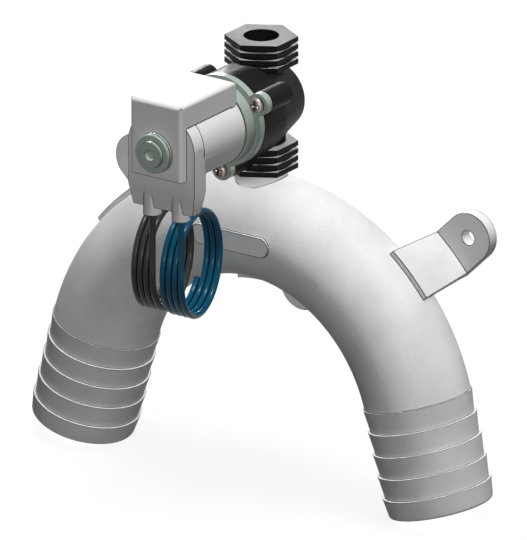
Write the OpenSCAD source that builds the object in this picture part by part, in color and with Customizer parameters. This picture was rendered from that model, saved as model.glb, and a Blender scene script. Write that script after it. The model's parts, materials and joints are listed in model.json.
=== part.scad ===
// Vented hose loop with a vacuum solenoid valve on its crown, in millimetres, +Z up.
// The origin lies on the wall, midway between the two upper fixing holes, and the loop stands off towards -Y.

/* [Loop] */
// Radius of the bend's centreline
bend_r = 70; // [66:1:90]
// Outside diameter of the loop's tube
tube_od = 38.7; // [36:0.1:42]
// Bore of the loop and of the hose tails
tube_bore = 33; // [28:0.5:34]
// Half of the angle that the bend turns through
bend_half = 75; // [65:1:85]
// Distance from the wall to the plane of the loop
wall_gap = 29.7; // [28:0.1:40]

/* [Hose tails] */
// Number of barbs on each tail
barb_count = 5; // [3:1:7]
// Distance from one barb to the next
barb_pitch = 8.2; // [6:0.1:10]
// Diameter at the crest of a barb
barb_d = 39.65; // [39:0.05:43]
// Diameter where the tail runs out under a barb
root_d = 37.8; // [36.5:0.1:38.6]
// Depth of the spigot that is welded into the bend
spigot_depth = 6; // [3:0.5:7]
// Wall of the spigot
spigot_wall = 1.3; // [1:0.1:1.6]

/* [Fixing lugs] */
// Distance between the two upper fixing holes
hole_pitch = 144; // [140:1:180]
// Diameter of a fixing hole
hole_d = 5.3; // [3:0.1:7]
// Angle of an upper lug from the crown
lug_angle = 45; // [40:1:50]
// Width of a lug's strip at its front edge
strip_front_w = 20.6; // [16:0.2:26]
// Distance that a strip reaches in front of the loop's plane
strip_reach = 0; // [-2:0.5:4]
// Height of an upper strip above the tube at its front edge
strip_rise = 2; // [1.5:0.1:3]
// Height that a strip gains on its way back to the wall
strip_draft = 1.36; // [0:0.02:2]
// Thickness of a strip
strip_t = 4.5; // [4:0.1:6]
// Thickness of a lug's ear
ear_t = 4.6; // [3:0.1:7]
// Radius of an ear's round end
ear_r = 9.2; // [7:0.1:11]
// Distance from the tube's inner side down to the lower fixing hole
lower_hole_drop = 11.95; // [10:0.1:16]

/* [Crown boss] */
// Diameter of the boss under the valve
boss_d = 18.3; // [16:0.1:20]
// Height of the boss above the crown
boss_rise = 2.05; // [1:0.05:6]
// Diameter of the nipple that the valve screws on
nipple_d = 12.6; // [12:0.05:12.7]
// Height of the nipple above the boss
nipple_h = 9; // [6:0.5:10]
// Diameter of the air hole through the nipple
air_hole_d = 6.4; // [3:0.1:7]
// Length of the plain pad on the front of the crown
pad_w = 33.2; // [25:0.1:40]
// Height of the pad
pad_h = 7.35; // [5:0.1:10]
// Height of the pad above the tube
pad_rise = 0.6; // [0.4:0.1:1.5]

/* [Valve body] */
// Height of the valve from port face to port face
valve_h = 49.6; // [48:0.1:56]
// Radius of the body's barrel
barrel_r = 16.9; // [16.5:0.1:18]
// Distance from the port axis to the barrel's front
barrel_front = 21.8; // [21:0.1:24]
// Length of the barrel
barrel_len = 12.5; // [10:0.1:13]
// Radius at the back of the body's cone
cone_back_r = 12.45; // [10:0.1:14]
// Distance from the port axis to the back of the cone
cone_back = 9.2; // [8:0.1:11]
// Radius of a port's hexagon over its corners
hex_r = 13.2; // [12.5:0.1:15]
// Thickness of one plate of a port's hexagon
plate_t = 1.9; // [1.2:0.1:2.2]
// Distance from one plate to the next
plate_pitch = 2.8; // [2.5:0.1:3.2]
// Number of plates on a port
plate_count = 4; // [3:1:4]
// Radius of the round core between the plates
port_core_r = 11; // [9.5:0.1:11.4]
// Radius of the neck between a port's plates and the body
port_neck_r = 8.8; // [8.4:0.1:11]
// Diameter of a port's bore
port_d = 12.8; // [12.8:0.05:13.4]
// Depth of a port's bore
port_depth = 11; // [10.5:0.1:12]
// Radius of the circle that the cover screws lie on
screw_circle_r = 18.4; // [17.9:0.1:19.5]
// Radius of a screw boss
screw_boss_r = 4.1; // [3.5:0.05:4.5]

/* [Diaphragm and plunger] */
// Travel of the plunger
plunger_stroke = 2.4; // [1.6:0.1:2.4]
// Travel of the diaphragm for each millimetre of the plunger
lift_ratio = 0.75; // [0.7:0.01:0.75]
// Radius of the valve seat's hole
seat_bore_r = 3.5; // [3.3:0.1:4]
// Outside radius of the diaphragm
diaphragm_r = 14.6; // [14.2:0.1:15]
// Radius of the plunger
plunger_r = 4; // [3.8:0.05:4.2]
// Length of the plunger
plunger_len = 24; // [22:0.5:26]
// Running clearance round the plunger and under the coil
running_gap = 0.08; // [0.04:0.01:0.1]

/* [Cover] */
// Thickness of the cover's flange
flange_t = 3.2; // [2.5:0.1:4]
// Radius of the cover's collar
collar_r = 14.9; // [14:0.1:15.5]
// Length of the cover's collar
collar_len = 5.1; // [5:0.1:7]
// Outside radius of the guide tube
guide_r = 4.85; // [4.75:0.05:5]
// Diameter of a cover screw
screw_d = 3; // [2.5:0.1:3.2]
// Diameter of a cover screw's head
screw_head_d = 5.5; // [4.8:0.1:6]

/* [Coil] */
// Radius of the round part of the coil's moulding
coil_r = 14.5; // [14:0.1:15]
// Distance from the port axis to the front of the moulding
coil_front = 61.6; // [60:0.1:63]
// Thickness of the moulding's square front block
block_t = 7; // [6:0.1:9]
// Thickness of the wall that closes the moulding's front
front_wall = 1.3; // [1.1:0.1:2]
// Distance from the coil's axis to the foot of the front block
block_drop = 15.1; // [14.8:0.1:17]
// Height of the tapered connector
connector_h = 7.9; // [6:0.1:10]
// Width of the cap over the coil's frame
cap_w = 22; // [21:0.1:24]
// Height of the cap above the coil's axis
cap_top = 18.8; // [18.4:0.1:20]
// Depth of the cap's front plate
cap_front_t = 3.5; // [3.3:0.1:5]
// Distance from the coil's axis to the foot of the cap
cap_drop = 9.6; // [9.4:0.1:12]
// Radius of the discs that hold the coil on the guide tube
disc_r = 7.3; // [6.5:0.1:8]

/* [Leads] */
// Diameter of a lead
lead_d = 2.4; // [1.8:0.1:2.4]
// Distance from the coil's middle to each lead
lead_x = 6.2; // [5.5:0.1:7.5]
// Radius of a lead's coil at the middle of its turns
lead_coil_r = 18.7; // [18:0.1:20]
// Distance from one turn of a lead to the next
lead_pitch = 2.65; // [2.4:0.05:2.7]
// Angle of the lead coils' axis from +X
lead_yaw = 12; // [10:1:14]

/* [Hidden] */
$fn = 96;

// Gap between pieces that are welded, moulded or pressed together
seat_gap = 0.05;
// Room for a cut to run past the face it opens
cut_past = 1;
joint_cut = 0.01;

// The loop's places, from the wall holes
lug_hole_rho = hole_pitch / (2 * sin(lug_angle));
arc_drop = lug_hole_rho * cos(lug_angle);
tube_r = tube_od / 2;
bore_r = tube_bore / 2;
crest_rho = bend_r + tube_r;
inner_rho = bend_r - tube_r;
strip_wall_rise = strip_rise + strip_draft;
lower_strip_rise = 2.3;
lower_wall_rise = lower_strip_rise + strip_draft;
boss_top = crest_rho + boss_rise;
axis_z = boss_top + valve_h / 2 - arc_drop;
tail_len = barb_count * barb_pitch - 0.6;
tail_round = 1.2;

// Distances along the coil's axis, from the port axis towards the front
barrel_back = barrel_front - barrel_len;
flange_front = barrel_front + flange_t;
collar_front = flange_front + collar_len;
rim_t = 1.4;
rim_back = barrel_front - rim_t;
seat_front = rim_back - 0.8;
disc_t = 1.4;
core_flange_back = seat_front + disc_t + seat_gap;
core_flange_t = 1;
core_flange_r = 5.6;
nozzle_len = 0.8;
nozzle_front = core_flange_back + core_flange_t + nozzle_len;
plunger_back = nozzle_front + seat_gap;
foot_len = 1.15;
foot_r = 3.6;
waist_r = 2.6;
core_lift = plunger_stroke * lift_ratio;
lost_motion = plunger_stroke - core_lift + 0.1;
hook_back = plunger_back + foot_len + lost_motion;
hook_t = 0.9;
finger_r = 5.3;
finger_t = 1;
hook_r = 3.1;
waist_front = hook_back + hook_t + 0.4;
cavity_r = 6.2;
cavity_front = hook_back + hook_t + core_lift + 0.6;
chamber_r = 12.4;
chamber_back = 8;
seat_r = 5.8;
guide_bore_r = plunger_r + running_gap;
plunger_front = plunger_back + plunger_len;
fixed_core_back = plunger_front + plunger_stroke + 0.1;
spring_pocket = 8;
spring_r = 2.15;
spring_wire = 0.5;
spring_turns = 7;

// The coil's places along the same axis
coil_back = collar_front + 0.3;
shell_t = 2;
frame_t = 1.8;
frame_back = coil_back + shell_t;
frame_w = 18;
frame_bottom = 7.8;
saddle_wall = 1.2;
saddle_relief = 0.3;
frame_top = coil_r + saddle_wall + 2 * seat_gap + frame_t;
frame_front = coil_front + 2 * seat_gap;
bobbin_back = frame_back + frame_t + 0.2;
bobbin_front = coil_front - front_wall - 0.1;
bobbin_flange_t = 1.2;
bobbin_r = 11.8;
bobbin_tube_r = 5.9;
bobbin_bore_r = guide_r + running_gap;
winding_r = 11.2;
cap_back = collar_front + 1;
cap_front = coil_front + cap_front_t;
cap_round = 1.6;
cap_edge = 1.3;
washer_t = 1;
groove_t = 0.25;
retainer_t = 1.2;
retainer_edge = 0.2;
retainer_round = 0.6;
retainer_back = cap_front + seat_gap + washer_t + groove_t;
guide_front = retainer_back + retainer_t + 1.2;
fixed_core_front = guide_front - 3.4;
block_hw = 14.3;
connector_hw = 12.8;
connector_inset = 1.1;
sleeve_r = 3.3;
pin_w = 2;
pin_t = 0.6;
pin_top = winding_r - 0.6;
pin_len = 14;
sleeve_drop = block_drop + connector_h + 3.2;
lead_s = coil_front - 3.3;

// The leads' straight stretches, from the sleeves down to the coils
lead_y = -(wall_gap + lead_s);
blue_route = [[6.2, -88, 18], [6.2, -88, 12.6], [6.25, -88.05, 7.3], [6.45, -88.4, 2], [6.85, -88.9, -3.4]];
black_route = [[-6.2, -88, 18], [-6.2, -88, 12.6], [-6.15, -88.05, 7.3], [-5.95, -88.4, 2], [-5.55, -88.9, -3.4]];
lead_turns = 3.39;
blue_coil_at = [3.1, -70.8, -4.4];
black_coil_at = [-9.3, -70.8, -4.4];
lead_slack = 0.2;

blue = [0.05, 0.36, 0.52];
pale = [0.86, 0.86, 0.86];
cover_green = [0.6, 0.65, 0.6];

// Direction from a to b, of length one
function unit(v) = v / norm(v);
function step_along(path, i) =
    unit(path[min(i + 1, len(path) - 1)] - path[max(i - 1, 0)]);
function ring_points(at, along, up, r, sides) =
    let (across = unit(cross(along, up)), out = cross(across, along))
    [for (k = [0 : sides - 1]) at + r * (cos(360 * k / sides) * across + sin(360 * k / sides) * out)];

// A round rod that follows a path
module rod_along(path, r, sides, up) {
    rings = len(path);
    points = [for (i = [0 : rings - 1]) each ring_points(path[i], step_along(path, i), up, r, sides)];
    walls = [
        for (i = [0 : rings - 2], k = [0 : sides - 1])
            let (a = i * sides + k, b = i * sides + (k + 1) % sides)
            each [[a, b, a + sides], [b, b + sides, a + sides]]
    ];
    ends = [
        [for (k = [sides - 1 : -1 : 0]) k],
        [for (k = [0 : sides - 1]) (rings - 1) * sides + k],
    ];
    polyhedron(points, concat(walls, ends));
}

// The centre of the bend's arc, with Z up and Y towards the wall
module at_arc() {
    translate([0, -wall_gap, -arc_drop]) children();
}

// A turned frame about the arc's centre: Z points outwards at this angle from the crown
module at_angle(angle) {
    at_arc() rotate([0, angle, 0]) children();
}

// The end of the bend, with Z pointing out of it along the tail
module at_bend_end(side) {
    at_angle(side * bend_half)
        translate([0, 0, bend_r])
            rotate([0, side * 90, 0])
                children();
}

// A point on the coil's axis, with Z towards the front and Y up
module on_axis(s) {
    translate([0, -wall_gap - s, axis_z]) rotate([90, 0, 0]) children();
}

module disc(r, from, to) {
    on_axis(from) cylinder(r = r, h = to - from);
}

module torus_sweep(r) {
    at_arc()
        rotate([90, 0, 0])
            rotate([0, 0, 90 - bend_half])
                rotate_extrude(angle = 2 * bend_half)
                    translate([bend_r, 0]) circle(r = r);
}

module screw_places() {
    for (a = [30, 150, 270])
        on_axis(0)
            translate([screw_circle_r * cos(a), screw_circle_r * sin(a), 0])
                children();
}

module obround(w, h) {
    for (side = [-1, 1])
        translate([side * (w - h) / 2, 0]) circle(d = h);
    square([w - h, h], center = true);
}

module boss_blend() {
    blend_r = 3.2;
    base = 8;
    translate([0, 0, boss_top - base])
        rotate_extrude()
            polygon(concat(
                [[0, base], [boss_d / 2, base], [boss_d / 2, base - boss_rise / 2]],
                [for (a = [0 : 15 : 60])
                    [boss_d / 2 + blend_r * (1 - cos(a)), base - boss_rise / 2 - 1.6 * blend_r * sin(a)]],
                [[boss_d / 2 + blend_r / 2, 0], [0, 0]]
            ));
}

module bend() {
    color(pale)
    difference() {
        union() {
            torus_sweep(tube_r);
            at_arc() boss_blend();
            at_arc() translate([0, 0, boss_top - cut_past]) cylinder(d = nipple_d, h = nipple_h + cut_past);
            at_arc()
                translate([0, -tube_r - pad_rise, bend_r - 0.8])
                    rotate([-90, 0, 0])
                        linear_extrude(pad_rise + 2)
                            obround(pad_w, pad_h);
        }
        torus_sweep(bore_r);
        for (side = [-1, 1])
            at_bend_end(side)
                translate([0, 0, -spigot_depth])
                    cylinder(r = bore_r + spigot_wall + seat_gap, h = spigot_depth + cut_past);
        at_arc()
            translate([0, 0, bend_r])
                cylinder(d = air_hole_d, h = boss_top + nipple_h + cut_past - bend_r);
        at_arc()
            translate([0, 0, boss_top - 1.35])
                difference() {
                    cylinder(r = nipple_d / 2 + 1.9, h = 1.35 + cut_past);
                    cylinder(r = nipple_d / 2, h = 1.35 + cut_past);
                }
    }
}

// Saw-tooth barbs, each widest at its upper end
module hose_tail(side) {
    crest = barb_d / 2;
    root = root_d / 2;
    slope = (crest - root) / barb_pitch;
    end_r = root + slope * (barb_count * barb_pitch - tail_len);
    color(pale)
    at_bend_end(side)
        rotate_extrude()
            polygon(concat(
                [
                    [bore_r, -spigot_depth + seat_gap],
                    [bore_r + spigot_wall, -spigot_depth + seat_gap],
                    [bore_r + spigot_wall, 0],
                ],
                [for (i = [0 : barb_count - 1]) each [
                    [crest, i * barb_pitch],
                    [i < barb_count - 1 ? root : end_r, i < barb_count - 1 ? (i + 1) * barb_pitch : tail_len - tail_round],
                ]],
                [for (a = [15 : 15 : 90])
                    [end_r - tail_round * (1 - cos(a)), tail_len - tail_round * (1 - sin(a))]],
                [[bore_r, tail_len]]
            ));
}

// A slightly tapered round about the arc's centre, through its radii at the wall and at a strip's front
module strip_round(wall_rho, front_rho, past) {
    len = strip_reach + wall_gap;
    grow = (front_rho - wall_rho) / len * past;
    rotate([90, 0, 0])
        translate([0, 0, -wall_gap - past])
            cylinder(r1 = wall_rho - grow, r2 = front_rho + grow, h = len + 2 * past, $fn = 200);
}

// Plan of a strip, narrowing from its front edge to the ear
module strip_plan(h) {
    linear_extrude(h)
        polygon([
            [-strip_front_w / 2, -strip_reach],
            [strip_front_w / 2, -strip_reach],
            [ear_r, wall_gap - ear_t],
            [ear_r, wall_gap],
            [-ear_r, wall_gap],
            [-ear_r, wall_gap - ear_t],
        ]);
}

// The ear against the wall, from its root radius to the round about its hole
module ear(root_rho, hole_rho) {
    translate([-ear_r, wall_gap - ear_t, min(root_rho, hole_rho)])
        cube([2 * ear_r, ear_t, abs(hole_rho - root_rho)]);
    translate([0, wall_gap, hole_rho])
        rotate([90, 0, 0])
            cylinder(r = ear_r, h = ear_t);
}

// What a lug loses: its fixing hole and the room that the tube takes up
module lug_cuts(angle, hole_rho) {
    at_angle(angle)
        translate([0, wall_gap + cut_past, hole_rho])
            rotate([90, 0, 0])
                cylinder(d = hole_d, h = ear_t + 2 * cut_past);
    torus_sweep(tube_r + seat_gap);
}

// A strip over the tube's outer side and an ear that runs on outwards
module upper_lug(side) {
    angle = side * lug_angle;
    low_rho = crest_rho + strip_wall_rise - strip_t;
    color(pale)
    difference() {
        at_angle(angle)
            difference() {
                union() {
                    intersection() {
                        strip_round(crest_rho + strip_wall_rise, crest_rho + strip_rise, 0);
                        strip_plan(lug_hole_rho);
                    }
                    ear(low_rho, lug_hole_rho);
                }
                strip_round(low_rho, low_rho, cut_past);
            }
        lug_cuts(angle, lug_hole_rho);
    }
}

// A strip under the tube's inner side and an ear that runs on inwards
module lower_lug() {
    hole_rho = inner_rho - lower_hole_drop;
    high_rho = inner_rho - lower_wall_rise + strip_t;
    color(pale)
    difference() {
        intersection() {
            at_arc() strip_round(high_rho, high_rho, 0);
            at_arc()
                union() {
                    difference() {
                        strip_plan(high_rho + cut_past);
                        strip_round(inner_rho - lower_wall_rise, inner_rho - lower_strip_rise, cut_past);
                    }
                    ear(high_rho, hole_rho);
                }
        }
        lug_cuts(0, hole_rho);
    }
}

module port_oring() {
    ring_r = 0.65;
    color("black")
    at_arc()
        translate([0, 0, boss_top - ring_r - seat_gap])
            rotate_extrude()
                translate([nipple_d / 2 + 0.95, 0]) circle(r = ring_r, $fn = 32);
}

// One port: hexagonal plates on a round core, drawn upwards from the body
module port(dir) {
    stack_foot = valve_h / 2 - plate_t - (plate_count - 1) * plate_pitch;
    mirror([0, 0, dir < 0 ? 1 : 0]) {
        cylinder(r = port_neck_r, h = stack_foot + plate_t / 2);
        translate([0, 0, stack_foot + plate_t / 2])
            cylinder(r = port_core_r, h = (plate_count - 1) * plate_pitch);
        for (i = [0 : plate_count - 1])
            translate([0, 0, stack_foot + i * plate_pitch])
                rotate([0, 0, 90])
                    cylinder(r = hex_r, h = plate_t, $fn = 6);
    }
}

module valve_body() {
    passage_r = 2.8;
    passage_h = (seat_r + chamber_r) / 2;
    port_floor = valve_h / 2 - port_depth;
    color([0.12, 0.12, 0.12])
    difference() {
        union() {
            disc(barrel_r, barrel_back, barrel_front);
            on_axis(-cone_back) cylinder(r1 = cone_back_r, r2 = barrel_r, h = cone_back + barrel_back);
            screw_places()
                translate([0, 0, barrel_back - 0.2]) cylinder(r = screw_boss_r, h = barrel_len + 0.2);
            translate([0, -wall_gap, axis_z]) {
                port(1);
                port(-1);
            }
        }
        translate([0, -wall_gap, axis_z]) {
            for (dir = [-1, 1])
                mirror([0, 0, dir < 0 ? 1 : 0])
                    translate([0, 0, port_floor]) cylinder(d = port_d, h = port_depth + cut_past);
            translate([0, 0, -port_floor - cut_past]) cylinder(r = seat_bore_r, h = port_floor + cut_past);
            translate([0, 0, passage_h]) cylinder(r = passage_r, h = port_floor - passage_h + cut_past);
        }
        on_axis(0)
            translate([0, passage_h, 0]) cylinder(r = passage_r, h = chamber_back + cut_past);
        disc(seat_bore_r, 0, barrel_front);
        disc(diaphragm_r + 0.1, rim_back, barrel_front + cut_past);
        on_axis(chamber_back)
            difference() {
                cylinder(r = chamber_r, h = barrel_front - chamber_back);
                cylinder(r = seat_r, h = seat_front - chamber_back);
            }
        screw_places()
            translate([0, 0, barrel_back + 1.5]) cylinder(d = screw_d + 2 * seat_gap, h = barrel_len);
    }
}

// Rubber disc: a clamped rim, a folded web and a thick middle that closes the seat
module diaphragm() {
    hole_r = 2.3;
    middle_r = seat_r + 1.2;
    web_r = (middle_r + chamber_r) / 2;
    web_t = 0.7;
    web_back = rim_back + 1.1;
    hinge_r = chamber_r - 1.2;
    color([0.15, 0.15, 0.17])
    on_axis(0)
        rotate_extrude()
            polygon([
                [hole_r, seat_front], [middle_r, seat_front], [middle_r + 1, seat_front + web_t + 0.3],
                [web_r, web_back], [hinge_r, web_back - 0.2], [chamber_r + 0.2, rim_back],
                [diaphragm_r, rim_back], [diaphragm_r, barrel_front], [chamber_r - 0.1, barrel_front],
                [hinge_r + 0.1, web_back - 0.2 + web_t], [web_r, web_back + web_t],
                [middle_r + 1.2, seat_front + disc_t + web_t - 0.1], [middle_r + 0.4, seat_front + disc_t],
                [hole_r, seat_front + disc_t],
            ]);
}

// Insert that clamps the diaphragm's middle, with a pilot nozzle and three hooks round the plunger's foot
module diaphragm_core() {
    stem_r = 2.2;
    finger_arc = 44;
    color([0.75, 0.7, 0.6])
    on_axis(0)
        union() {
            difference() {
                rotate_extrude()
                    polygon([
                        [0, seat_front - 1.1], [3, seat_front - 1.1], [3, seat_front - seat_gap],
                        [stem_r, seat_front - seat_gap], [stem_r, core_flange_back],
                        [core_flange_r, core_flange_back], [core_flange_r, core_flange_back + core_flange_t],
                        [1.6, core_flange_back + core_flange_t], [1.2, nozzle_front], [0, nozzle_front],
                    ]);
                translate([0, 0, seat_front - 1.1 - cut_past])
                    cylinder(r = 0.6, h = nozzle_front - seat_front + 1.1 + 2 * cut_past, $fn = 32);
            }
            for (a = [90, 210, 330])
                rotate([0, 0, a - finger_arc / 2])
                    rotate_extrude(angle = finger_arc)
                        polygon([
                            [finger_r - finger_t, core_flange_back + core_flange_t / 2],
                            [finger_r, core_flange_back + core_flange_t / 2],
                            [finger_r, hook_back + hook_t],
                            [hook_r, hook_back + hook_t],
                            [hook_r, hook_back],
                            [finger_r - finger_t, hook_back],
                        ]);
        }
}

// Flange, collar and guide tube in one moulding
module cover() {
    color(cover_green)
    difference() {
        union() {
            disc(barrel_r, barrel_front, flange_front);
            screw_places()
                translate([0, 0, barrel_front]) cylinder(r = screw_boss_r + 0.05, h = flange_t);
            disc(collar_r, barrel_front, collar_front);
            disc(guide_r, collar_front - cut_past, guide_front);
        }
        disc(chamber_r, barrel_front - cut_past, barrel_front + 2);
        on_axis(barrel_front + 2 - joint_cut)
            cylinder(r1 = chamber_r, r2 = cavity_r, h = cavity_front - barrel_front - 3.4);
        disc(cavity_r, barrel_front, cavity_front);
        disc(guide_bore_r, barrel_front, fixed_core_front + seat_gap);
        disc(2, guide_front - 2, guide_front + cut_past);
        screw_places()
            translate([0, 0, barrel_front - cut_past])
                cylinder(d = screw_d + 0.2, h = flange_t + 2 * cut_past);
    }
}

module cover_screws() {
    head_h = 2;
    shank = flange_t + barrel_len - 2.4;
    slot_w = 0.7;
    slot_l = 3.2;
    color([0.7, 0.68, 0.66])
    screw_places()
        translate([0, 0, flange_front])
            difference() {
                union() {
                    translate([0, 0, -shank]) cylinder(d = screw_d, h = shank + head_h / 2);
                    translate([0, 0, seat_gap])
                        rotate_extrude()
                            polygon(concat(
                                [[0, 0], [screw_head_d / 2, 0], [screw_head_d / 2, head_h * 0.4]],
                                [for (a = [15 : 15 : 75])
                                    [screw_head_d / 2 * (0.5 + 0.5 * cos(a)), head_h * (0.4 + 0.6 * sin(a))]],
                                [[screw_head_d / 4, head_h], [0, head_h]]
                            ));
                }
                for (a = [0, 90])
                    rotate([0, 0, a])
                        translate([-slot_l / 2, -slot_w / 2, head_h - 1.1])
                            cube([slot_l, slot_w, 1.1 + cut_past]);
            }
}

module fixed_core() {
    color("silver")
    disc(guide_bore_r - 0.03, fixed_core_back, fixed_core_front);
}

// Steel plunger with a necked foot, a pocket for the seal and one for the spring
module plunger() {
    color("silver")
    on_axis(0)
        difference() {
            rotate_extrude()
                polygon([
                    [0, plunger_back + 0.2], [foot_r, plunger_back + 0.2],
                    [foot_r, plunger_back + foot_len], [waist_r, plunger_back + foot_len],
                    [waist_r, waist_front], [plunger_r - 0.4, waist_front], [plunger_r, waist_front + 0.4],
                    [plunger_r, plunger_front - 0.3], [plunger_r - 0.3, plunger_front], [0, plunger_front],
                ]);
            translate([0, 0, plunger_back]) cylinder(r = 2 + seat_gap, h = 1.8);
            translate([0, 0, plunger_front - spring_pocket])
                cylinder(r = spring_r + spring_wire, h = spring_pocket + cut_past);
        }
}

module plunger_seal() {
    color([0.2, 0.2, 0.2])
    disc(2, plunger_back, plunger_back + 1.75);
}

module plunger_spring() {
    low = plunger_front - spring_pocket + spring_wire / 2 + seat_gap;
    high = fixed_core_back - spring_wire / 2 - seat_gap;
    steps = 14 * spring_turns;
    path = [
        for (i = [0 : steps])
            let (t = i / steps, a = 360 * spring_turns * t)
            [spring_r * cos(a), spring_r * sin(a), low + (high - low) * t]
    ];
    color("gainsboro")
    on_axis(0) rod_along(path, spring_wire / 2, 6, [0, 0, 1]);
}

module bobbin() {
    color("ivory")
    difference() {
        union() {
            disc(bobbin_tube_r, bobbin_back, bobbin_front);
            disc(bobbin_r, bobbin_back, bobbin_back + bobbin_flange_t);
            disc(bobbin_r, bobbin_front - bobbin_flange_t, bobbin_front);
        }
        disc(bobbin_bore_r, bobbin_back - cut_past, bobbin_front + cut_past);
    }
}

module winding() {
    from = bobbin_back + bobbin_flange_t + seat_gap;
    to = bobbin_front - bobbin_flange_t - seat_gap;
    color([0.72, 0.4, 0.2])
    difference() {
        disc(winding_r, from, to);
        disc(bobbin_tube_r + seat_gap, from - cut_past, to + cut_past);
    }
}

// Outline of the front block: a round top on straight sides
module tombstone() {
    intersection() {
        union() {
            circle(r = coil_r - 0.1);
            translate([-block_hw, -block_drop]) square([2 * block_hw, block_drop]);
        }
        translate([-block_hw, -block_drop]) square([2 * block_hw, block_drop + coil_r]);
    }
}

module connector() {
    thin = 0.01;
    hull() {
        on_axis(coil_front - block_t)
            translate([-block_hw, -block_drop - thin, 0]) cube([2 * block_hw, thin, block_t]);
        on_axis(coil_front - block_t + connector_inset)
            translate([-connector_hw, -block_drop - connector_h, 0])
                cube([2 * connector_hw, thin, block_t - 2 * connector_inset]);
    }
}

module coil_moulding() {
    cavity_wall_r = bobbin_r + 0.1;
    color(pale)
    difference() {
        union() {
            disc(coil_r, coil_back, coil_front - block_t + cut_past);
            on_axis(coil_front - block_t) linear_extrude(block_t) tombstone();
            connector();
            for (side = [-1, 1])
                on_axis(lead_s)
                    translate([side * lead_x, -sleeve_drop, 0])
                        rotate([-90, 0, 0])
                            cylinder(r = sleeve_r, h = sleeve_drop - block_drop);
        }
        disc(cavity_wall_r, frame_back + frame_t, coil_front - front_wall);
        disc(bobbin_bore_r, coil_back - cut_past, coil_front + cut_past);
        yoke_space(seat_gap);
        terminal_places() pin(seat_gap);
    }
}

module terminal_places() {
    for (side = [-1, 1])
        on_axis(lead_s) translate([side * lead_x, -pin_top, 0]) children();
}

// A flat pin that runs down from its upper end
module pin(gap) {
    translate([-pin_w / 2 - gap, -pin_len - gap, -pin_t / 2 - gap])
        cube([pin_w + 2 * gap, pin_len + 2 * gap, pin_t + 2 * gap]);
}

// The room that the steel frame takes up, grown by a gap
module yoke_space(gap) {
    on_axis(frame_back - gap)
        translate([-frame_w / 2 - gap, -frame_bottom - gap, 0])
            cube([frame_w + 2 * gap, frame_bottom + frame_top + 2 * gap, frame_t + 2 * gap]);
    on_axis(frame_back - gap)
        translate([-frame_w / 2 - gap, frame_top - frame_t - gap, 0])
            cube([frame_w + 2 * gap, frame_t + 2 * gap, frame_front + frame_t - frame_back + 2 * gap]);
    on_axis(frame_front - gap)
        translate([-frame_w / 2 - gap, -frame_bottom - gap, 0])
            cube([frame_w + 2 * gap, frame_bottom + frame_top + 2 * gap, frame_t + 2 * gap]);
}

module magnet_yoke() {
    color("gray")
    difference() {
        yoke_space(0);
        disc(bobbin_bore_r, frame_back - cut_past, frame_front + frame_t + cut_past);
    }
}

module rounded_rect(w, h, r) {
    for (x = [r, w - r], y = [r, h - r])
        translate([x, y]) circle(r = r, $fn = 48);
    translate([r, 0]) square([w - 2 * r, h]);
    translate([0, r]) square([w, h - 2 * r]);
}

// Side outline of the cap: a plate down the front and a roof that runs back
module cap_side() {
    square([cap_front_t + cap_round, cap_drop + cap_top - cap_round]);
    translate([0, cap_drop + cap_top / 2]) rounded_rect(cap_front - cap_back, cap_top / 2, cap_round);
}

// L-shaped cap over the steel frame, saddled on the round of the moulding
module yoke_cap() {
    color(pale)
    difference() {
        intersection() {
            translate([-cap_w / 2, -wall_gap - cap_front, axis_z - cap_drop])
                rotate([90, 0, 90])
                    linear_extrude(cap_w) cap_side();
            on_axis(cap_back - cut_past)
                translate([-cap_w / 2, -cap_drop - cut_past])
                    linear_extrude(cap_front - cap_back + 2 * cut_past)
                        rounded_rect(cap_w, cap_top + cap_drop + cut_past, cap_edge);
            translate([-cap_w / 2, -wall_gap - cap_front, axis_z - cap_drop - cut_past])
                linear_extrude(cap_drop + cap_top + 2 * cut_past)
                    rounded_rect(cap_w, cap_front - cap_back + cap_edge, cap_edge);
        }
        on_axis(cap_back - cut_past)
            translate([-cap_w, -coil_r - cap_drop, 0])
                cube([2 * cap_w, coil_r + cap_drop, coil_front + seat_gap - cap_back + cut_past]);
        // The saddle bears on a band behind the frame's back plate and is relieved in front of it
        disc(coil_r + seat_gap, cap_back - cut_past, frame_back + frame_t);
        disc(coil_r + saddle_relief, frame_back + frame_t - joint_cut, coil_front + seat_gap);
        yoke_space(seat_gap);
        disc(bobbin_bore_r, coil_front, cap_front + cut_past);
    }
}

module terminal_pins() {
    color([0.8, 0.68, 0.35])
    terminal_places() pin(0);
}

module coil_washer() {
    color(cover_green)
    difference() {
        disc(disc_r, cap_front + seat_gap, cap_front + seat_gap + washer_t);
        disc(guide_r + seat_gap, cap_front, cap_front + 2 * washer_t);
    }
}

module retaining_cap() {
    color(cover_green)
    on_axis(retainer_back)
        rotate_extrude()
            polygon(concat(
                [[guide_r + seat_gap, 0], [disc_r - retainer_edge, 0], [disc_r, retainer_edge]],
                [for (a = [0 : 15 : 90])
                    [disc_r - retainer_round * (1 - cos(a)), retainer_t - retainer_round * (1 - sin(a))]],
                [[guide_r + seat_gap, retainer_t]]
            ));
}

module lead(route, shade) {
    color(shade) rod_along(route, lead_d / 2, 8, [0, 1, 0]);
}

// Outer shape of a coil of lead that starts at a point and runs towards -X
module lead_coil(at, shade) {
    turns_w = (lead_turns - 0.25) * lead_pitch;
    width = turns_w * cos(lead_yaw) + lead_d + lead_slack;
    color(shade)
    translate(at - [turns_w / 2, 0, 0])
        rotate([0, 90, lead_yaw])
            translate([0, 0, -width / 2])
                difference() {
                    cylinder(r = lead_coil_r + lead_d / 2 + lead_slack, h = width);
                    translate([0, 0, -cut_past])
                        cylinder(r = lead_coil_r - lead_d / 2 - lead_slack, h = width + 2 * cut_past);
                }
}

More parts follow.
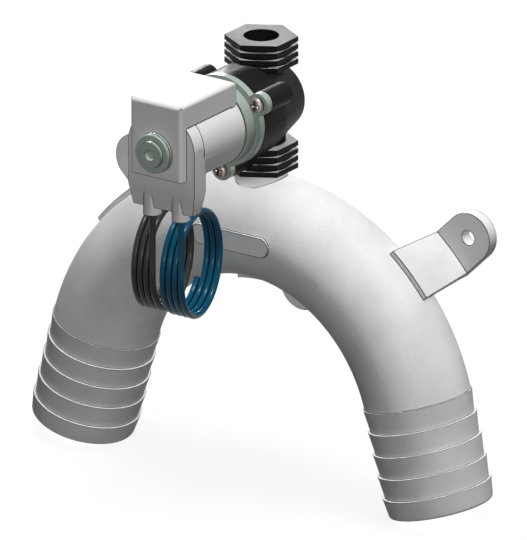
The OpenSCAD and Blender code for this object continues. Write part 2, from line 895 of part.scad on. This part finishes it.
bend();
hose_tail(-1);  // left_hose_tail
hose_tail(1);  // right_hose_tail
upper_lug(-1);  // left_lug
upper_lug(1);  // right_lug
lower_lug();
port_oring();
valve_body();
diaphragm();
diaphragm_core();
cover();
cover_screws();
fixed_core();
plunger();
plunger_seal();
plunger_spring();
bobbin();
winding();
coil_moulding();
magnet_yoke();
yoke_cap();
terminal_pins();
coil_washer();
retaining_cap();
lead(blue_route, blue);  // blue_lead
lead_coil(blue_coil_at, blue);  // blue_lead_coil
lead(black_route, "black");  // black_lead
lead_coil(black_coil_at, "black");  // black_lead_coil
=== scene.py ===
"""Looks of a vacuum solenoid valve on a rigid vented hose loop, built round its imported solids."""

import json
import math

import bmesh
import bpy
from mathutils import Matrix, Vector


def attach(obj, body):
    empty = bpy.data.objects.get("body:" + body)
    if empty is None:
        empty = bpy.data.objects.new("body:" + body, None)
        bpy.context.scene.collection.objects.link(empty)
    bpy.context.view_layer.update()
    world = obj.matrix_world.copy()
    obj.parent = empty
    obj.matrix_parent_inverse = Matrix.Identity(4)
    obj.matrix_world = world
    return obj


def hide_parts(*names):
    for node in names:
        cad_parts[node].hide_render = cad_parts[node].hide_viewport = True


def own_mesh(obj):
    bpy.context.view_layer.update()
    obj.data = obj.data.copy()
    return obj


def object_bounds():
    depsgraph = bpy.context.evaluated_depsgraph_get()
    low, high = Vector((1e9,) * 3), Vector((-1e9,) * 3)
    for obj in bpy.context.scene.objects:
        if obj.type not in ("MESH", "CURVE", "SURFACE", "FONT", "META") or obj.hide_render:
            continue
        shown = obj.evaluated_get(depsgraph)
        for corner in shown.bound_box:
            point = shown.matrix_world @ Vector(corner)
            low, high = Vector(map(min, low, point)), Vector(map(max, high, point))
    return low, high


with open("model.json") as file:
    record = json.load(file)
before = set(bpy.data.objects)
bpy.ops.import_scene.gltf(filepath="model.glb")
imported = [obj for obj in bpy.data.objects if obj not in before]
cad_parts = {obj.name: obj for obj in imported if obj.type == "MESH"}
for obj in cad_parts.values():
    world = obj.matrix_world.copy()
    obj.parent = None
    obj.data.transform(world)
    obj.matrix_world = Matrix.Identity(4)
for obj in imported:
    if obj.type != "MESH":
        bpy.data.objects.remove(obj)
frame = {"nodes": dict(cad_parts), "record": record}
CAD_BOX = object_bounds()

bl_info = {
    "name": "Vented Loop Valve",
    "version": (1, 0, 0),
    "blender": (4, 5, 0),
    "location": "View3D > Sidebar > Loop Valve",
    "description": "Dresses a solenoid valve on a barbed hose loop with plastics, metals and lead wires",
    "category": "Object",
}

MM = 0.001

# What the imported part gives: each node's finish
SLOTS = {part["node"]: part["material_slot"] for part in frame["record"]["subparts"]}

# Edge rounding: facets that turn by less than this, in degrees, are merged, and a round has this many steps
FLAT_TURN = 0.5
ROUND_STEPS = 3

# Painted shade in seams and inner corners: the share of open sky around a point below which it is painted
# dark, and above which it is clear
SEAM_DARK, SEAM_CLEAR = 0.4, 0.85
SEAM_SAMPLES = 12
SEAM_WIDTHS = 1.4

# Edge lines: the cosine of the turn across an edge below which it is dark, and above which it is clear
LINE_DARK, LINE_CLEAR = 0.985, 0.9985
LINE_SAMPLES = 8

# How far the roughness swings to each side, and how deep the grain's dents are
ROUGHNESS_SWING = 0.06
DENT_DEPTH = 0.05 * MM

# The photograph's camera: its angles, the height of its frame and the point it looks at, along its own axes
VIEW_AZIMUTH = math.radians(35.0)
VIEW_ELEVATION = math.radians(20.33)
FRAME_HEIGHT = 191.86 * MM
VIEW_ACROSS = -16.26 * MM
VIEW_UP = -27.02 * MM
VIEW_DEPTH = 32.0 * MM
LENS = 1500.0
SENSOR = 36.0

# Each lamp's strength, the direction to it, its spread in degrees, and whether it casts shadows
LAMPS = {
    "top_lamp": (0.9, (0.15, -0.02, 0.99), 40.0, True),
    "sky_lamp": (3.45, (0.15, -0.02, 0.99), 6.0, False),
    "front_lamp": (1.2, (0.59, -0.76, 0.26), 6.0, False),
    "back_lamp": (1.2, (-0.59, 0.79, 0.15), 6.0, False),
}
SKY_LIGHT = 0.005

# The floor's shade to the camera and to bounced light, and the glow that makes it white where no shadow falls
FLOOR_SEEN = 0.5
FLOOR_BOUNCE = 0.015
FLOOR_GLOW = 0.26
FLOOR_HALF = 6.0
FLOOR_GAP = 0.5 * MM

# The leads' straight stretches and the first centres of their coils, in millimetres
LEADS = {
    "blue_lead": {
        "route": (
            (6.2, -88, 18), (6.2, -88, 12.6), (6.25, -88.05, 7.3), (6.45, -88.4, 2), (6.85, -88.9, -3.4),
        ),
        "coil_at": (3.1, -70.8, -4.4),
    },
    "black_lead": {
        "route": (
            (-6.2, -88, 18), (-6.2, -88, 12.6), (-6.15, -88.05, 7.3), (-5.95, -88.4, 2), (-5.55, -88.9, -3.4),
        ),
        "coil_at": (-9.3, -70.8, -4.4),
    },
}
STEPS_PER_TURN = 48


def socket_in(group, name, kind, default=None):
    """Adds an input to a shader node group."""
    socket = group.interface.new_socket(name=name, in_out="INPUT", socket_type=kind)
    if default is not None:
        socket.default_value = default


def socket_out(group, name, kind):
    """Adds an output to a shader node group."""
    group.interface.new_socket(name=name, in_out="OUTPUT", socket_type=kind)


def grain_group():
    """Moulded grain: a fine speckle for colour and bump, and a wide cloud for colour and roughness."""
    group = bpy.data.node_groups.new("moulded_grain", "ShaderNodeTree")
    socket_in(group, "Scale", "NodeSocketFloat", 2600.0)
    socket_in(group, "Cloud Scale", "NodeSocketFloat", 60.0)
    socket_out(group, "Speckle", "NodeSocketFloat")
    socket_out(group, "Cloud", "NodeSocketFloat")
    nodes, links = group.nodes, group.links
    inside = nodes.new("NodeGroupInput")
    outside = nodes.new("NodeGroupOutput")
    place = nodes.new("ShaderNodeTexCoord")
    speckle = nodes.new("ShaderNodeTexNoise")
    speckle.inputs["Detail"].default_value = 2.0
    cloud = nodes.new("ShaderNodeTexNoise")
    cloud.inputs["Detail"].default_value = 4.0
    for texture, size in ((speckle, "Scale"), (cloud, "Cloud Scale")):
        links.new(place.outputs["Object"], texture.inputs["Vector"])
        links.new(inside.outputs[size], texture.inputs["Scale"])
    links.new(speckle.outputs["Fac"], outside.inputs["Speckle"])
    links.new(cloud.outputs["Fac"], outside.inputs["Cloud"])
    return group


def shade_group():
    """Turns two masks into a colour that varies round a base colour."""
    group = bpy.data.node_groups.new("tone_variation", "ShaderNodeTree")
    socket_in(group, "Base", "NodeSocketColor")
    socket_in(group, "Mark", "NodeSocketColor")
    socket_in(group, "Speckle", "NodeSocketFloat")
    socket_in(group, "Cloud", "NodeSocketFloat")
    socket_in(group, "Amount", "NodeSocketFloat", 0.2)
    socket_out(group, "Color", "NodeSocketColor")
    nodes, links = group.nodes, group.links
    inside = nodes.new("NodeGroupInput")
    outside = nodes.new("NodeGroupOutput")
    both = nodes.new("ShaderNodeMath")
    both.operation = "ADD"
    scaled = nodes.new("ShaderNodeMath")
    scaled.operation = "MULTIPLY"
    mix = nodes.new("ShaderNodeMix")
    mix.data_type = "RGBA"
    links.new(inside.outputs["Speckle"], both.inputs[0])
    links.new(inside.outputs["Cloud"], both.inputs[1])
    links.new(both.outputs[0], scaled.inputs[0])
    links.new(inside.outputs["Amount"], scaled.inputs[1])
    links.new(scaled.outputs[0], mix.inputs["Factor"])
    links.new(inside.outputs["Base"], mix.inputs["A"])
    links.new(inside.outputs["Mark"], mix.inputs["B"])
    links.new(mix.outputs["Result"], outside.inputs["Color"])
    return group


def seam_group():
    """Painted shade in narrow seams and inner corners, from ambient occlusion, 0 in a seam and 1 in the open.
    """
    group = bpy.data.node_groups.new("seam_shade", "ShaderNodeTree")
    socket_in(group, "Reach", "NodeSocketFloat", 0.8 * MM)
    socket_out(group, "Open", "NodeSocketFloat")
    nodes, links = group.nodes, group.links
    inside = nodes.new("NodeGroupInput")
    outside = nodes.new("NodeGroupOutput")
    shelter = nodes.new("ShaderNodeAmbientOcclusion")
    shelter.samples = SEAM_SAMPLES
    steps = nodes.new("ShaderNodeMapRange")
    steps.interpolation_type = "SMOOTHSTEP"
    steps.inputs["From Min"].default_value = SEAM_DARK
    steps.inputs["From Max"].default_value = SEAM_CLEAR
    links.new(inside.outputs["Reach"], shelter.inputs["Distance"])
    links.new(shelter.outputs["AO"], steps.inputs["Value"])
    links.new(steps.outputs["Result"], outside.inputs["Open"])
    return group


def edge_group():
    """A thin line along every hard edge, 0 on the edge and 1 away from it."""
    group = bpy.data.node_groups.new("edge_line", "ShaderNodeTree")
    socket_in(group, "Width", "NodeSocketFloat", 0.5 * MM)
    socket_out(group, "Clear", "NodeSocketFloat")
    nodes, links = group.nodes, group.links
    inside = nodes.new("NodeGroupInput")
    outside = nodes.new("NodeGroupOutput")
    rounded = nodes.new("ShaderNodeBevel")
    rounded.samples = LINE_SAMPLES
    surface = nodes.new("ShaderNodeNewGeometry")
    turn = nodes.new("ShaderNodeVectorMath")
    turn.operation = "DOT_PRODUCT"
    steps = nodes.new("ShaderNodeMapRange")
    steps.interpolation_type = "SMOOTHSTEP"
    steps.inputs["From Min"].default_value = LINE_DARK
    steps.inputs["From Max"].default_value = LINE_CLEAR
    links.new(inside.outputs["Width"], rounded.inputs["Radius"])
    links.new(rounded.outputs["Normal"], turn.inputs[0])
    links.new(surface.outputs["Normal"], turn.inputs[1])
    links.new(turn.outputs["Value"], steps.inputs["Value"])
    links.new(steps.outputs["Result"], outside.inputs["Clear"])
    return group


def group_named(name, maker):
    """A shader node group, built the first time it is asked for."""
    return bpy.data.node_groups.get(name) or maker()


def moulded_plastic(name, base, mark, amount, roughness, ior, grain_scale, bump, line=0.5, painted_shade_factor=0.05):
    """Injection-moulded plastic with a fine grain, a faint change of tone, painted shade in seams and inner
    corners, and painted dark edge lines.
    """
    material = bpy.data.materials.new(name)
    material.use_nodes = True
    nodes, links = material.node_tree.nodes, material.node_tree.links
    shader = nodes["Principled BSDF"]
    shader.inputs["IOR"].default_value = ior
    grain = nodes.new("ShaderNodeGroup")
    grain.node_tree = group_named("moulded_grain", grain_group)
    grain.inputs["Scale"].default_value = grain_scale
    tone = nodes.new("ShaderNodeGroup")
    tone.node_tree = group_named("tone_variation", shade_group)
    tone.inputs["Base"].default_value = (*base, 1.0)
    tone.inputs["Mark"].default_value = (*mark, 1.0)
    tone.inputs["Amount"].default_value = amount
    rough = nodes.new("ShaderNodeMapRange")
    rough.inputs["To Min"].default_value = roughness - ROUGHNESS_SWING
    rough.inputs["To Max"].default_value = roughness + ROUGHNESS_SWING
    dents = nodes.new("ShaderNodeBump")
    dents.inputs["Strength"].default_value = bump
    dents.inputs["Distance"].default_value = DENT_DEPTH
    links.new(grain.outputs["Speckle"], tone.inputs["Speckle"])
    links.new(grain.outputs["Cloud"], tone.inputs["Cloud"])
    links.new(grain.outputs["Cloud"], rough.inputs["Value"])
    links.new(grain.outputs["Speckle"], dents.inputs["Height"])
    shelter = nodes.new("ShaderNodeGroup")
    shelter.node_tree = group_named("seam_shade", seam_group)
    shelter.inputs["Reach"].default_value = SEAM_WIDTHS * line * MM
    edge = nodes.new("ShaderNodeGroup")
    edge.node_tree = group_named("edge_line", edge_group)
    edge.inputs["Width"].default_value = line * MM
    plain = nodes.new("ShaderNodeMath")
    plain.operation = "MULTIPLY"
    shaded = nodes.new("ShaderNodeMix")
    shaded.data_type = "RGBA"
    # Painted shade: in seams and inner corners, and on the edge lines, the colour falls to this share of the
    # base colour
    shaded.inputs["A"].default_value = (*(painted_shade_factor * value for value in base), 1.0)
    links.new(shelter.outputs["Open"], plain.inputs[0])
    links.new(edge.outputs["Clear"], plain.inputs[1])
    links.new(plain.outputs[0], shaded.inputs["Factor"])
    links.new(tone.outputs["Color"], shaded.inputs["B"])
    links.new(shaded.outputs["Result"], shader.inputs["Base Color"])
    links.new(rough.outputs["Result"], shader.inputs["Roughness"])
    links.new(dents.outputs["Normal"], shader.inputs["Normal"])
    return material


def turned_metal(name, base, mark, roughness):
    """Bright metal with a fine grain, painted shade in seams and inner corners, and painted dark edge lines.
    """
    material = moulded_plastic(
        name, base, mark, amount=0.25, roughness=roughness, ior=1.5, grain_scale=1400.0, bump=0.15,
    )
    material.node_tree.nodes["Principled BSDF"].inputs["Metallic"].default_value = 1.0
    return material


def linear(red, green, blue):
    """A colour written as it looks on screen, from 0 to 255, made linear."""
    return tuple(
        value / 255 / 12.92 if value < 11 else ((value / 255 + 0.055) / 1.055) ** 2.4
        for value in (red, green, blue)
    )


FINISHES = {}


def make_finishes():
    """Makes all the materials, by the record's slots."""
    looks = bpy.context.scene.loop_valve
    # Base colour, colour of the marks, their amount, roughness, index of refraction, grain scale,
    # bump and the width of the edge lines in millimetres
    plastics = {
        "loop_plastic": (looks.loop_colour, linear(165, 165, 165), 0.5, 0.5, 1.1, 2600, 0.6, 0.5),
        "tail_plastic": (looks.tail_colour, linear(163, 163, 163), 0.5, 0.5, 1.1, 2600, 0.6, 0.38),
        "valve_black": (looks.valve_colour, linear(19, 19, 19), 0.35, 0.42, 1.12, 2000, 0.3, 0.5),
        "cover_plastic": (looks.cover_colour, linear(132, 144, 135), 0.35, 0.3, 1.35, 2200, 0.2, 0.35),
        "coil_plastic": (looks.coil_colour, linear(190, 190, 190), 0.35, 0.5, 1.1, 2600, 0.3, 0.5),
        "core_plastic": (linear(220, 214, 196), linear(200, 194, 178), 0.35, 0.5, 1.3, 2200, 0.3, 0.5),
        "seal_rubber": (linear(30, 30, 32), linear(20, 20, 22), 0.35, 0.7, 1.2, 1800, 0.4, 0.5),
        "blue_insulation": (looks.blue_lead_colour, linear(1, 54, 76), 0.35, 0.22, 1.2, 1500, 0.1, 0.5),
        "black_insulation": (looks.black_lead_colour, linear(40, 40, 40), 0.35, 0.25, 1.2, 1500, 0.1, 0.5),
    }
    # Base colour, colour of the marks and roughness
    metals = {
        "magnetic_steel": ((190, 190, 190), (160, 160, 160), 0.35),
        "spring_steel": ((200, 200, 200), (170, 170, 170), 0.25),
        "screw_steel": ((150, 142, 138), (110, 104, 100), 0.3),
        "copper_wire": ((196, 120, 70), (160, 90, 50), 0.35),
        "terminal_brass": ((216, 190, 110), (190, 160, 90), 0.3),
    }
    for slot, finish in plastics.items():
        FINISHES[slot] = moulded_plastic(f"{slot}_finish", *finish)
    for slot, (base, mark, roughness) in metals.items():
        FINISHES[slot] = turned_metal(f"{slot}_finish", linear(*base), linear(*mark), roughness)


def dress_nodes(*names):
    """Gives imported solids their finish."""
    for name in names:
        node = frame["nodes"][name]
        node.data.materials.clear()
        node.data.materials.append(FINISHES[SLOTS[name]])


def soften_nodes(names, width, angle=25.0, weld_reach=0.002):
    """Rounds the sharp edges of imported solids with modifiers, in millimetres and degrees."""
    for name in names:
        node = frame["nodes"][name]
        weld = node.modifiers.new("weld", "WELD")
        weld.merge_threshold = weld_reach * MM
        flat = node.modifiers.new("flat_faces", "DECIMATE")
        flat.decimate_type = "DISSOLVE"
        flat.angle_limit = math.radians(FLAT_TURN)
        bevel = node.modifiers.new("edge_round", "BEVEL")
        bevel.width = width * MM
        bevel.segments = ROUND_STEPS
        bevel.limit_method = "ANGLE"
        bevel.angle_limit = math.radians(angle)
        bevel.miter_outer = "MITER_ARC"
        for face in node.data.polygons:
            face.use_smooth = True
        smooth = node.modifiers.new("smooth", "WEIGHTED_NORMAL")
        smooth.keep_sharp = True


def squash_inwards(name):
    """Gives a soft piece its own copy of its mesh."""
    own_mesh(frame["nodes"][name])


def colour_setting(name, description, red, green, blue):
    """A colour that a user can change, given as it looks on screen, from 0 to 255."""
    return bpy.props.FloatVectorProperty(
        name=name, description=description, default=linear(red, green, blue),
        subtype="COLOR", size=3, min=0.0, max=1.0,
    )


class LoopValveSettings(bpy.types.PropertyGroup):
    """Sizes and colours that a user would change."""

    lead_diameter: bpy.props.FloatProperty(
        name="Lead diameter", description="Outside diameter of a lead wire",
        default=2.4 * MM, unit="LENGTH",
    )
    lead_coil_radius: bpy.props.FloatProperty(
        name="Lead coil radius", description="Radius of a lead's coil at the middle of its turns",
        default=18.7 * MM, unit="LENGTH",
    )
    lead_pitch: bpy.props.FloatProperty(
        name="Lead pitch", description="Distance from one turn of a lead to the next",
        default=2.65 * MM, unit="LENGTH",
    )
    lead_turns: bpy.props.FloatProperty(
        name="Lead turns", description="Turns in each lead's coil", default=3.39,
    )
    lead_yaw: bpy.props.FloatProperty(
        name="Lead yaw", description="Angle of the lead coils' axis from +X",
        default=math.radians(12.0), subtype="ANGLE",
    )
    loop_colour: colour_setting("Loop colour", "Colour of the bend and its lugs", 233, 233, 233)
    tail_colour: colour_setting("Tail colour", "Colour of the barbed hose tails", 231, 231, 231)
    valve_colour: colour_setting("Valve colour", "Colour of the valve body", 27, 27, 27)
    cover_colour: colour_setting("Cover colour", "Colour of the cover and the coil's discs", 150, 161, 153)
    coil_colour: colour_setting("Coil colour", "Colour of the coil's moulding and cap", 212, 212, 212)
    blue_lead_colour: colour_setting("Blue lead colour", "Colour of the blue lead", 3, 72, 98)
    black_lead_colour: colour_setting("Black lead colour", "Colour of the black lead", 54, 54, 54)


def coil_point(at, turn, looks):
    """A point on a lead's coil, which starts at its front and goes down first."""
    back = Vector((-math.sin(looks.lead_yaw), math.cos(looks.lead_yaw), 0.0))
    centre = MM * Vector(at) - Vector((looks.lead_pitch * turn, 0.0, 0.0))
    angle = math.tau * turn
    outwards = math.cos(angle) * back + math.sin(angle) * Vector((0.0, 0.0, 1.0))
    return centre - looks.lead_coil_radius * outwards


def lead_path(lead, looks):
    """The whole line of a lead, from its sleeve to its cut end."""
    straight = [MM * Vector(point) for point in lead["route"]]
    steps = round(looks.lead_turns * STEPS_PER_TURN)
    turns = [
        coil_point(lead["coil_at"], looks.lead_turns * step / steps, looks)
        for step in range(steps + 1)
    ]
    return straight + turns


class LOOPVALVE_OT_leads(bpy.types.Operator):
    """Two lead wires, each with its coil"""

    bl_idname = "loop_valve.leads"
    bl_label = "Lead wires"

    def execute(self, context):
        looks = context.scene.loop_valve
        for name, lead in LEADS.items():
            path = lead_path(lead, looks)
            curve = bpy.data.curves.new(f"{name}_wire", "CURVE")
            curve.dimensions = "3D"
            curve.bevel_depth = looks.lead_diameter / 2
            curve.bevel_resolution = 5
            curve.use_fill_caps = True
            spline = curve.splines.new("POLY")
            spline.points.add(len(path) - 1)
            for point, place in zip(spline.points, path):
                point.co = (*place, 1.0)
            wire = bpy.data.objects.new(f"{name}_wire", curve)
            context.scene.collection.objects.link(wire)
            spline.use_smooth = True
            curve.materials.append(FINISHES[SLOTS[name]])
            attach(wire, "coil")
            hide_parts(name, f"{name}_coil")
        return {"FINISHED"}


class LOOPVALVE_OT_hose_loop(bpy.types.Operator):
    """The bend, its two barbed tails and its three wall lugs"""

    bl_idname = "loop_valve.hose_loop"
    bl_label = "Hose loop"

    def execute(self, context):
        tails = ("left_hose_tail", "right_hose_tail")
        lugs = ("left_lug", "right_lug", "lower_lug")
        dress_nodes("bend", *tails, *lugs)
        soften_nodes(["bend"], 0.2)
        soften_nodes(tails, 0.15, angle=20.0)
        soften_nodes(lugs, 0.25)
        return {"FINISHED"}


class LOOPVALVE_OT_valve(bpy.types.Operator):
    """The valve body, its cover and screws, and what moves inside"""

    bl_idname = "loop_valve.valve"
    bl_label = "Valve"

    def execute(self, context):
        dress_nodes("port_oring", "valve_body", "cover", "cover_screws", "diaphragm", "diaphragm_core")
        dress_nodes("plunger", "plunger_seal", "plunger_spring", "fixed_core")
        soften_nodes(["valve_body"], 0.2)
        # The cover's cavity has a ring so narrow that it is welded shut before its edges are rounded
        soften_nodes(["cover"], 0.2, weld_reach=0.03)
        soften_nodes(["cover_screws"], 0.08)
        squash_inwards("plunger_spring")
        squash_inwards("diaphragm")
        return {"FINISHED"}


class LOOPVALVE_OT_coil(bpy.types.Operator):
    """The coil with its moulding, steel frame, cap, pins and the discs that hold it"""

    bl_idname = "loop_valve.coil"
    bl_label = "Coil"

    def execute(self, context):
        outside = ("coil_moulding", "yoke_cap", "coil_washer", "retaining_cap")
        dress_nodes("bobbin", "winding", "magnet_yoke", "terminal_pins", *outside)
        soften_nodes(outside, 0.2)
        return {"FINISHED"}


def sky_panel(name, strength, towards, spread, shadow):
    """A distant lamp: the direction to it, and how many degrees of the sky it fills."""
    lamp = bpy.data.lights.new(name, "SUN")
    lamp.energy = strength
    lamp.angle = math.radians(spread)
    lamp.use_shadow = shadow
    holder = bpy.data.objects.new(name, lamp)
    holder.location = Vector(towards)
    holder.rotation_euler = Vector(towards).to_track_quat("Z", "Y").to_euler()
    bpy.context.scene.collection.objects.link(holder)


class LOOPVALVE_OT_stage(bpy.types.Operator):
    """Camera, lamps, world and floor"""

    bl_idname = "loop_valve.stage"
    bl_label = "Stage"

    def execute(self, context):
        scene = context.scene
        scene.view_settings.view_transform = "Standard"
        self.add_camera(scene)
        self.add_world(scene)
        for name, settings in LAMPS.items():
            sky_panel(name, *settings)
        self.add_floor(scene, CAD_BOX[0].z)
        return {"FINISHED"}

    def add_camera(self, scene):
        """A long lens from far away, so that the view is all but parallel."""
        back = Vector((
            math.sin(VIEW_AZIMUTH) * math.cos(VIEW_ELEVATION),
            -math.cos(VIEW_AZIMUTH) * math.cos(VIEW_ELEVATION),
            math.sin(VIEW_ELEVATION),
        ))
        right = Vector((math.cos(VIEW_AZIMUTH), math.sin(VIEW_AZIMUTH), 0.0))
        up = back.cross(right)
        camera = bpy.data.objects.new("camera", bpy.data.cameras.new("camera"))
        camera.data.lens = LENS
        camera.data.sensor_width = SENSOR
        camera.data.clip_end = 100.0
        distance = FRAME_HEIGHT * LENS / SENSOR
        camera.location = VIEW_ACROSS * right + VIEW_UP * up + (VIEW_DEPTH + distance) * back
        camera.rotation_euler = back.to_track_quat("Z", "Y").to_euler()
        scene.collection.objects.link(camera)
        scene.camera = camera

    def add_world(self, scene):
        """White to the camera and in reflections, and nearly dark as a light."""
        world = bpy.data.worlds.new("studio")
        world.use_nodes = True
        scene.world = world
        nodes, links = world.node_tree.nodes, world.node_tree.links
        soft = nodes["Background"]
        soft.inputs["Color"].default_value = (1.0, 1.0, 1.0, 1.0)
        soft.inputs["Strength"].default_value = SKY_LIGHT
        white = nodes.new("ShaderNodeBackground")
        white.inputs["Strength"].default_value = 1.0
        white.inputs["Color"].default_value = (1.0, 1.0, 1.0, 1.0)
        rays = nodes.new("ShaderNodeLightPath")
        seen = nodes.new("ShaderNodeMath")
        seen.operation = "MAXIMUM"
        through = nodes.new("ShaderNodeMath")
        through.operation = "MAXIMUM"
        mix = nodes.new("ShaderNodeMixShader")
        links.new(rays.outputs["Is Camera Ray"], seen.inputs[0])
        links.new(rays.outputs["Is Glossy Ray"], seen.inputs[1])
        links.new(seen.outputs[0], through.inputs[0])
        links.new(rays.outputs["Is Transmission Ray"], through.inputs[1])
        links.new(through.outputs[0], mix.inputs["Fac"])
        links.new(soft.outputs[0], mix.inputs[1])
        links.new(white.outputs[0], mix.inputs[2])
        links.new(mix.outputs[0], nodes["World Output"].inputs["Surface"])

    def add_floor(self, scene, height):
        """A pale floor just under the object. It keeps the top lamp's shadow."""
        mesh = bpy.data.meshes.new("floor")
        floor = bpy.data.objects.new("floor", mesh)
        shape = bmesh.new()
        bmesh.ops.create_grid(shape, x_segments=1, y_segments=1, size=FLOOR_HALF)
        bmesh.ops.translate(shape, vec=(0.0, 0.0, height - FLOOR_GAP), verts=shape.verts)
        shape.to_mesh(mesh)
        shape.free()
        material = bpy.data.materials.new("pale_floor")
        material.use_nodes = True
        nodes, links = material.node_tree.nodes, material.node_tree.links
        shader = nodes["Principled BSDF"]
        shader.inputs["Roughness"].default_value = 0.9
        shader.inputs["Specular IOR Level"].default_value = 0.0
        rays = nodes.new("ShaderNodeLightPath")
        # The camera sees a pale floor, and the undersides of the object get little light from it
        paint = nodes.new("ShaderNodeMix")
        paint.data_type = "RGBA"
        paint.inputs["A"].default_value = (FLOOR_BOUNCE, FLOOR_BOUNCE, FLOOR_BOUNCE, 1.0)
        paint.inputs["B"].default_value = (FLOOR_SEEN, FLOOR_SEEN, FLOOR_SEEN, 1.0)
        links.new(rays.outputs["Is Camera Ray"], paint.inputs["Factor"])
        links.new(paint.outputs["Result"], shader.inputs["Base Color"])
        to_eye = nodes.new("ShaderNodeMath")
        to_eye.operation = "MULTIPLY"
        to_eye.inputs[1].default_value = FLOOR_GLOW
        glow = nodes.new("ShaderNodeMath")
        glow.operation = "MAXIMUM"
        links.new(rays.outputs["Is Camera Ray"], to_eye.inputs[0])
        links.new(to_eye.outputs[0], glow.inputs[0])
        links.new(rays.outputs["Is Glossy Ray"], glow.inputs[1])
        shader.inputs["Emission Color"].default_value = (1.0, 1.0, 1.0, 1.0)
        links.new(glow.outputs[0], shader.inputs["Emission Strength"])
        mesh.materials.append(material)
        scene.collection.objects.link(floor)


class LOOPVALVE_PT_panel(bpy.types.Panel):
    """Lists the settings and the groups of pieces"""

    bl_idname = "LOOPVALVE_PT_panel"
    bl_label = "Loop Valve"
    bl_space_type = "VIEW_3D"
    bl_region_type = "UI"
    bl_category = "Loop Valve"

    def draw(self, context):
        looks = context.scene.loop_valve
        for name in looks.__annotations__:
            self.layout.prop(looks, name)
        for operator in OPERATORS:
            self.layout.operator(operator.bl_idname)


OPERATORS = (
    LOOPVALVE_OT_stage, LOOPVALVE_OT_hose_loop, LOOPVALVE_OT_valve, LOOPVALVE_OT_coil, LOOPVALVE_OT_leads,
)
CLASSES = (LoopValveSettings, *OPERATORS, LOOPVALVE_PT_panel)


def register():
    for cls in CLASSES:
        bpy.utils.register_class(cls)
    bpy.types.Scene.loop_valve = bpy.props.PointerProperty(type=LoopValveSettings)


def unregister():
    del bpy.types.Scene.loop_valve
    for cls in reversed(CLASSES):
        bpy.utils.unregister_class(cls)


def main():
    register()
    make_finishes()
    bpy.ops.loop_valve.stage()
    bpy.ops.loop_valve.hose_loop()
    bpy.ops.loop_valve.valve()
    bpy.ops.loop_valve.coil()
    bpy.ops.loop_valve.leads()


if __name__ == "__main__":
    main()
